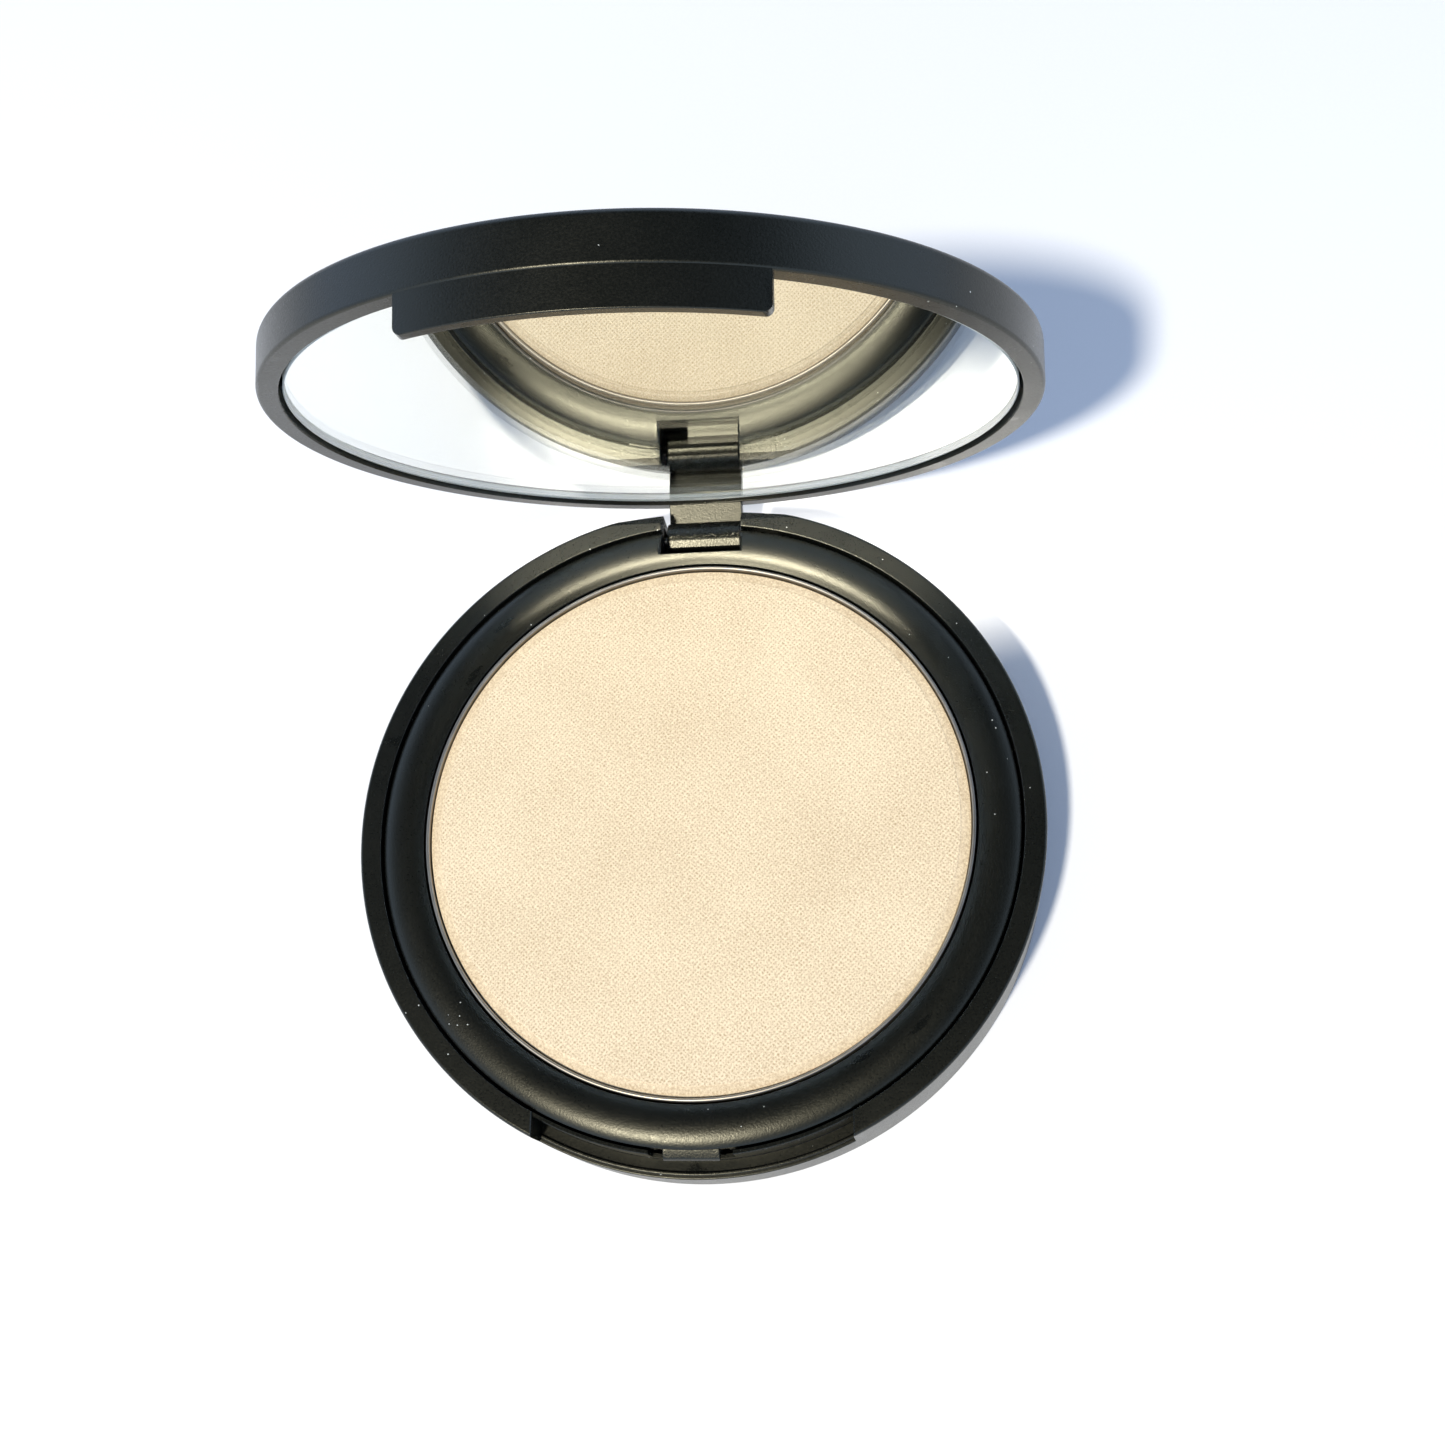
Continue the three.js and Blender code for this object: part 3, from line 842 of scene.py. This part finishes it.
def makeTray():
    well = panOuter + tray["wellGap"]
    wellFloor = panLow - tray["wellDrop"]
    wallOut = well + tray["wall"]
    skirt = trayOuter - tray["wall"]
    under = rim - tray["bezelUnder"]
    foot = base["floor"] + tray["footGap"]
    soft = tray["bezelBreak"]
    bezel = bezierPoints(
        (trayOuter, rim - tray["bezelShoulder"]),
        (trayOuter - tray["bezelFlank"], rim + tray["bezelCrown"] * 0.7),
        (wallOut + tray["wall"] / 3, rim + tray["bezelCrown"]),
        (well + soft, rim - tray["bezelInset"]),
        26,
    )
    body = turnPiece("inner_tray_moulding", [
        (tray["ejectHole"], wellFloor - tray["wall"]),
        (wallOut, wellFloor - tray["wall"]),
        (wallOut, under),
        (skirt, under),
        (skirt, foot),
        (trayOuter, foot),
        *bezel,
        *arcPoints((well + soft, rim - tray["bezelInset"] - soft), soft, 120, 180, 4),
        (well, wellFloor),
        (tray["ejectHole"], wellFloor),
        (tray["ejectHole"], wellFloor - tray["wall"]),
    ])
    notch = blockPiece("notch", (-halfNotch, halfNotch), (notchFront, beyond), (0, rim))
    combine(body, flareTop(notch, rim, tray["edge"] * 2), "DIFFERENCE")
    reliefHalf = cheekOuter + hingeSizes["cheekGap"]
    relief = blockPiece("relief", (-reliefHalf, reliefHalf),
                        (pin.y - hingeSizes["knuckle"] - hingeSizes["cheekGap"], beyond),
                        (0, cheekTop + hingeSizes["cheekGap"]))
    combine(body, relief, "DIFFERENCE")
    keeper = blockPiece("keeper", (halfNotch + hingeSizes["cheekGap"], cheekOuter - 1),
                        (pin.y - pinRound, trayOuter - 0.2),
                        (pin.z + pinRound + hingeSizes["pinGap"], rim - 1.08))
    combine(body, mirrored(keeper), "UNION")
    combine(body, keeper, "UNION")
    slotFar = tray["tongueWidth"] / 2 + tray["slotWidth"]
    slot = blockPiece("slot", (tray["tongueWidth"] / 2, slotFar), (-beyond, -skirt + 0.3), (0, rim - 1.08))
    combine(body, mirrored(slot), "DIFFERENCE")
    combine(body, slot, "DIFFERENCE")
    top = rim - tray["tongueDrop"]
    low = top - tray["tongueHeight"]
    tip = trayOuter + tray["tongueReach"]
    root = trayOuter - tray["wall"] / 2
    tongue = slabPiece("tongue", [
        (0, -root, top),
        (0, -root, low),
        (0, -trayOuter, low),
        (0, -tip, (top + low) / 2),
        (0, -tip + tray["tongueRake"], top - tray["tongueSlope"]),
        (0, -trayOuter, top),
    ], tray["tongueWidth"], (1, 0, 0))
    combine(body, breakEdges(tongue, tray["edge"]), "UNION")
    return finishPiece(body, "base", ["inner_tray"], [trayAbs])


makeTray()


pan = {"wall": 0.4, "cornerRound": 0.8, "innerFillet": 0.4}
powder = {
    "marginWidth": 1.05,   # the smooth band left by the press plate's edge
    "marginDrop": 0.1,
    "marginSlope": 0.16,
    "edgeRound": 0.16,
    "faceRound": 0.12,
}


def makePan():
    wall, corner, fillet = pan["wall"], pan["cornerRound"], pan["innerFillet"]
    lip = wall / 2
    inner = panOuter - wall
    dish = turnPiece("powder_pan_drawn", [
        (0, panLow),
        *arcPoints((panOuter - corner, panLow + corner), corner, -90, 0, 8),
        *arcPoints((panOuter - lip, panHigh - lip), lip, 0, 180, 10),
        *arcPoints((inner - fillet, panLow + wall + fillet), fillet, 0, -90, 5),
        (0, panLow + wall),
    ], steps=288)
    return finishPiece(dish, "base", ["powder_pan"], [drawnAluminium()])


def makePowder():
    edge, soft = powder["edgeRound"], powder["faceRound"]
    face = powderOuter - powder["marginWidth"]
    bandIn = powderHigh - powder["marginDrop"]
    bandOut = bandIn - powder["marginSlope"]
    cake = turnPiece("pressed_powder_cake", [
        (0, powderLow),
        (powderOuter, powderLow),
        *arcPoints((powderOuter - edge, bandOut - edge), edge, 0, 80, 6),
        (face + 0.08, bandIn),
        *arcPoints((face - soft, powderHigh - soft), soft, 25, 90, 5),
        (face * 0.6, powderHigh),
        (face * 0.3, powderHigh),
        (0, powderHigh),
    ], steps=288)
    return finishPiece(cake, "base", ["pressed_powder"], [pressedPowder()])


makePan()
makePowder()


def makePin():
    chamfer = pinRound / 4
    rod = turnPiece("hinge_pin_ground", [
        (0, -pinHalf),
        *arcPoints((pinRound - chamfer, chamfer - pinHalf), chamfer, -90, 0, 4),
        *arcPoints((pinRound - chamfer, pinHalf - chamfer), chamfer, 0, 90, 4),
        (0, pinHalf),
    ], steps=48)
    place = Matrix.Translation(pin * mm) @ Matrix.Rotation(math.pi / 2, 4, "Y")
    return finishPiece(rod, "base", ["hinge_pin"], [groundSteel()], place=place)


def makeLabel():
    sticker = turnPiece("shade_label_sticker", [
        (0, 0),
        *arcPoints((labelOuter - 0.05, 0.05), 0.05, -90, 0, 3),
        *arcPoints((labelOuter - 0.05, labelThick - 0.05), 0.05, 0, 90, 3),
        (0, labelThick),
    ], steps=128)
    return finishPiece(sticker, "base", ["shade_label"], [printedLabel()])


makePin()
makeLabel()


lid = {
    "thick": 4.55,
    "recess": 3.05,
    "rimWidth": 2.0,
    "edgeRound": 0.65,
    "rimRound": 0.35,
    "rimBreak": 0.12,
    "fillet": 0.3,
    "tabWidth": 29.5,
    "tabDepth": 3.35,
    "tabThick": 1.2,
    "tabStep": 0.1,     # the tab stands back from the lid's wall
    "tabRound": 0.8,
    "tabEdge": 0.12,
    "beadHalf": 2.5,
    "beadReach": 0.15,
    "beadHeight": 0.5,
    "toeStart": 190,
    "toeEnd": 214,
    "toeReach": 0.1,
    "grooveAt": 187,
    "groove": 0.1,
    "lugEdge": 0.1,
    "neckDraft": 13,    # degrees; the neck thins away from the lid
}
lidInner = outer - lid["rimWidth"]


def makeTab():
    half, curve, step = lid["tabWidth"] / 2, lid["tabRound"], lid["tabStep"]
    outline = [
        (-half, 0, 1.5),
        *((x, 0, z) for x, z in arcPoints((-half + curve, curve - lid["tabDepth"]), curve, 180, 270, 8)),
        *((x, 0, z) for x, z in arcPoints((half - curve, curve - lid["tabDepth"]), curve, 270, 360, 8)),
        (half, 0, 1.5),
    ]
    skirt = slabPiece("tab", outline, 2 * beyond, (0, 1, 0))
    tabInner = outer - lid["tabThick"]
    soft = lid["tabEdge"]
    low = -lid["tabDepth"]
    ring = turnPiece("tab ring", [
        (tabInner + soft, low),
        (outer - step - soft, low),
        *arcPoints((outer - step - soft, low + soft), soft, -90, 0, 4)[1:],
        (outer - step, 1),
        (tabInner, 1),
        *arcPoints((tabInner + soft, low + soft), soft, 180, 270, 4),
    ])
    combine(skirt, ring, "INTERSECT")
    front = blockPiece("front", (-beyond, beyond), (-beyond, 0), (-10, 10))
    return combine(skirt, front, "INTERSECT")


def makeLug():
    knuckle = hingeSizes["knuckle"]
    neckFoot = lidInner - pin.y + (lidPivotDrop - knuckle) * math.tan(math.radians(lid["neckDraft"]))
    neckAngle = math.degrees(math.acos(neckFoot / knuckle))
    centre = (pin.y, -lidPivotDrop)
    toe = arcPoints(centre, knuckle + lid["toeReach"], lid["toeEnd"], lid["toeEnd"], 1)[0]
    outline = [
        (lidInner, 1),
        (lidInner, 0),
        *arcPoints(centre, knuckle, neckAngle, lid["toeStart"], 20),
        toe,
        *arcPoints(centre, knuckle, 2 * lid["toeEnd"] - lid["toeStart"], 360, 24),
        (outer + 1, -lidPivotDrop),
        (outer + 1, 1),
    ]
    lug = slabPiece("lug", [(0, y, z) for y, z in outline], hingeSizes["lugWidth"], (1, 0, 0))
    breakEdges(lug, lid["lugEdge"], segments=3, limit=24)
    inside = turnPiece("inside", [(0, -9), (outer - 0.02, -9), (outer - 0.02, 4), (0, 4)])
    combine(lug, inside, "INTERSECT")
    bore = rodPiece("bore", boreRadius, pin.y, -lidPivotDrop, 20)
    combine(lug, bore, "DIFFERENCE")
    seam = arcPoints(centre, knuckle, lid["grooveAt"], lid["grooveAt"], 1)[0]
    return combine(lug, rodPiece("seam", lid["groove"], *seam, 20, sides=12), "DIFFERENCE")


def makeLid():
    curve, edge, soft, fillet = lid["rimRound"], lid["edgeRound"], lid["rimBreak"], lid["fillet"]
    shell = turnPiece("lid_shell_moulding", [
        (0, lid["recess"]),
        *arcPoints((lidInner - fillet, lid["recess"] - fillet), fillet, 90, 0, 4),
        *arcPoints((lidInner + soft, soft), soft, 180, 270, 4),
        *arcPoints((outer - curve, curve), curve, -90, 0, 8),
        *arcPoints((outer - edge, lid["thick"] - edge), edge, 0, 90, 10),
        (outer * 0.5, lid["thick"]),
        (0, lid["thick"]),
    ])
    combine(shell, makeTab(), "UNION")
    tabInner = outer - lid["tabThick"]
    bottom = -lid["tabDepth"] + lid["beadReach"]
    bead = blockPiece("bead", (-lid["beadHalf"], lid["beadHalf"]),
                      (-tabInner - lid["tabThick"] / 2, -tabInner + lid["beadReach"]),
                      (bottom, bottom + lid["beadHeight"]))
    combine(shell, breakEdges(bead, 0.07, segments=3), "UNION")
    combine(shell, makeLug(), "UNION")
    return finishPiece(shell, "lid", ["lid_shell"], [lidAbs], place=lidPlace)


makeLid()


mirror = {"inset": 0.35, "thick": 1.8, "arris": 0.15}


def makeMirror():
    front, back, arris = mirror["inset"], mirror["inset"] + mirror["thick"], mirror["arris"]
    glass = turnPiece("mirror_glass_disc", [
        (0, front),
        (mirrorOuter - arris, front),
        (mirrorOuter, front + arris),
        (mirrorOuter, back - arris),
        (mirrorOuter - arris, back),
        (0, back),
    ], steps=288)
    for face in glass.data.polygons:
        if face.normal.z > 0.95:
            face.material_index = 1
        elif face.normal.z > -0.95:
            face.material_index = 2
    return finishPiece(glass, "lid", ["mirror_glass"],
                       [floatGlass(), silveredBack(), groundEdge()], place=lidPlace)


makeMirror()

for nodeName, material in (("pan_adhesive", hotMelt), ("mirror_adhesive", foamTape)):
    node = frame["nodes"][nodeName]
    node.data.materials.clear()
    node.data.materials.append(material)
print("hidden layers dressed")


studio = {
    "paper": "#f4f4f4",
    "paperLow": "#f1f1f1",
    "paperTooth": 0.4,
    "keyFrom": (-0.268, -0.519, 1.0),
    "keyDistance": 900,
    "keySize": 70,
    "keyPower": 8.3,
    "keyColour": "#fff9ec",
    "throwFrom": (-0.231, 0.023, 0.972),   # the key's direction, seen in the mirror
    "throwOnto": (7.4, 32.3, 10.5),
    "throwReach": (34.4, 8.7),   # half-lengths of the bright ellipse, left to right and front to back
    "throwDistance": 500,
    "throwPower": 17,
    "throwBlend": 0.3,
    "throwSize": 6,
    "skyColour": "#b2c8ec",
    "skyStrength": 1.8,
    "overhead": 0.05,      # share of the sky's light that comes from straight above, where the camera stands
    "overheadFrom": 0.45,
    "overheadTo": 0.82,
}


def makeStudio():
    putDown()
    bpy.ops.mesh.primitive_plane_add(size=4, location=(0, 0, 0))
    floor = bpy.context.object
    floor.name = "paper_floor"
    paper = newMaterial("matt white paper")
    tooth = addNode(paper, "TexNoise", {"Scale": perMetre(studio["paperTooth"]), "Detail": 3.0},
                    {"Vector": placeOn(paper)})[0]
    shade = addNode(paper, "Mix", {
        "data_type": "RGBA",
        6: srgb(studio["paperLow"]),
        7: srgb(studio["paper"]),
    }, {0: tooth})[2]
    shader = addNode(paper, "BsdfPrincipled", {"Roughness": 0.9, "Specular IOR Level": 0.2},
                     {"Base Color": shade})[0]
    addNode(paper, "OutputMaterial", None, {"Surface": shader})
    floor.data.materials.append(paper)
    floor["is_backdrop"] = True

    lamp = bpy.data.lights.new("key softbox", "AREA")
    lamp.shape = "DISK"
    lamp.size = studio["keySize"] * mm
    lamp.energy = studio["keyPower"]
    lamp.color = srgb(studio["keyColour"])[:3]
    key = bpy.data.objects.new("key softbox", lamp)
    towards = Vector(studio["keyFrom"]).normalized()
    key.location = towards * studio["keyDistance"] * mm
    key.rotation_euler = towards.to_track_quat("Z", "Y").to_euler()
    bpy.context.scene.collection.objects.link(key)

    # the light that the mirror throws on the back of the base and the paper; the lid doesn't stop it
    glow = bpy.data.lights.new("light from the mirror", "SPOT")
    glow.energy = studio["throwPower"]
    glow.color = srgb(studio["keyColour"])[:3]
    glow.spot_size = 2 * math.atan(studio["throwReach"][0] / studio["throwDistance"])
    glow.spot_blend = studio["throwBlend"]
    glow.shadow_soft_size = studio["throwSize"] * mm
    thrower = bpy.data.objects.new("light from the mirror", glow)
    onto = Vector(studio["throwOnto"]) * mm
    towards = Vector(studio["throwFrom"]).normalized()
    along = (Vector((1, 0, 0)) - towards * towards.x).normalized()
    thrower.matrix_world = Matrix.LocRotScale(
        onto + towards * studio["throwDistance"] * mm,
        Matrix((along, towards.cross(along), towards)).transposed().to_quaternion(),
        (1, studio["throwReach"][1] / studio["throwReach"][0], 1),
    )
    bpy.context.scene.collection.objects.link(thrower)
    stoppers = bpy.data.collections.new("stops the mirror's light")
    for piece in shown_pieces():
        if "base" in (body_of(piece) or []):
            stoppers.objects.link(piece)
    thrower.light_linking.blocker_collection = stoppers
    catchers = bpy.data.collections.new("catches the mirror's light")
    for name in ("base_shell_moulding", "inner_tray_moulding", "paper_floor"):
        catchers.objects.link(bpy.data.objects[name])
    thrower.light_linking.receiver_collection = catchers

    sky = bpy.data.worlds.new("pale studio")
    sky.use_nodes = True
    sky.node_tree.nodes.clear()
    up = addNode(sky, "SeparateXYZ", None, {0: addNode(sky, "TexCoord")["Generated"]})[2]
    dim = addNode(sky, "MapRange", {
        "interpolation_type": "SMOOTHSTEP",
        "From Min": studio["overheadFrom"],
        "From Max": studio["overheadTo"],
        "To Min": studio["skyStrength"],
        "To Max": studio["skyStrength"] * studio["overhead"],
    }, {"Value": up})[0]
    light = addNode(sky, "Background", {"Color": srgb(studio["skyColour"])}, {"Strength": dim})[0]
    addNode(sky, "OutputWorld", None, {"Surface": light})
    bpy.context.scene.world = sky
    bpy.context.scene.view_settings.view_transform = "Standard"


view = {
    "aim": (2.78, 10.77, 10.5),
    "distance": 183.9,
    "azimuth": 20.87,
    "elevation": 69.08,
    "roll": -21.51,
    "lens": 42.43,
}


def makeCamera():
    azimuth, elevation, roll = (math.radians(view[k]) for k in ("azimuth", "elevation", "roll"))
    back = Vector((
        math.sin(azimuth) * math.cos(elevation),
        -math.cos(azimuth) * math.cos(elevation),
        math.sin(elevation),
    ))
    right = (-back).cross(Vector((0, 0, 1))).normalized()
    up = right.cross(-back)
    across = math.cos(roll) * right + math.sin(roll) * up
    upright = -math.sin(roll) * right + math.cos(roll) * up
    lens = bpy.data.cameras.new("camera")
    lens.lens = view["lens"]
    lens.sensor_width = 36
    lens.clip_start = 0.005
    camera = bpy.data.objects.new("camera", lens)
    camera.matrix_world = Matrix.LocRotScale(
        (Vector(view["aim"]) + back * view["distance"]) * mm,
        Matrix((across, upright, back)).transposed().to_quaternion(),
        None,
    )
    bpy.context.scene.collection.objects.link(camera)
    bpy.context.scene.camera = camera


makeStudio()
makeCamera()
putDown()
print("studio ready")
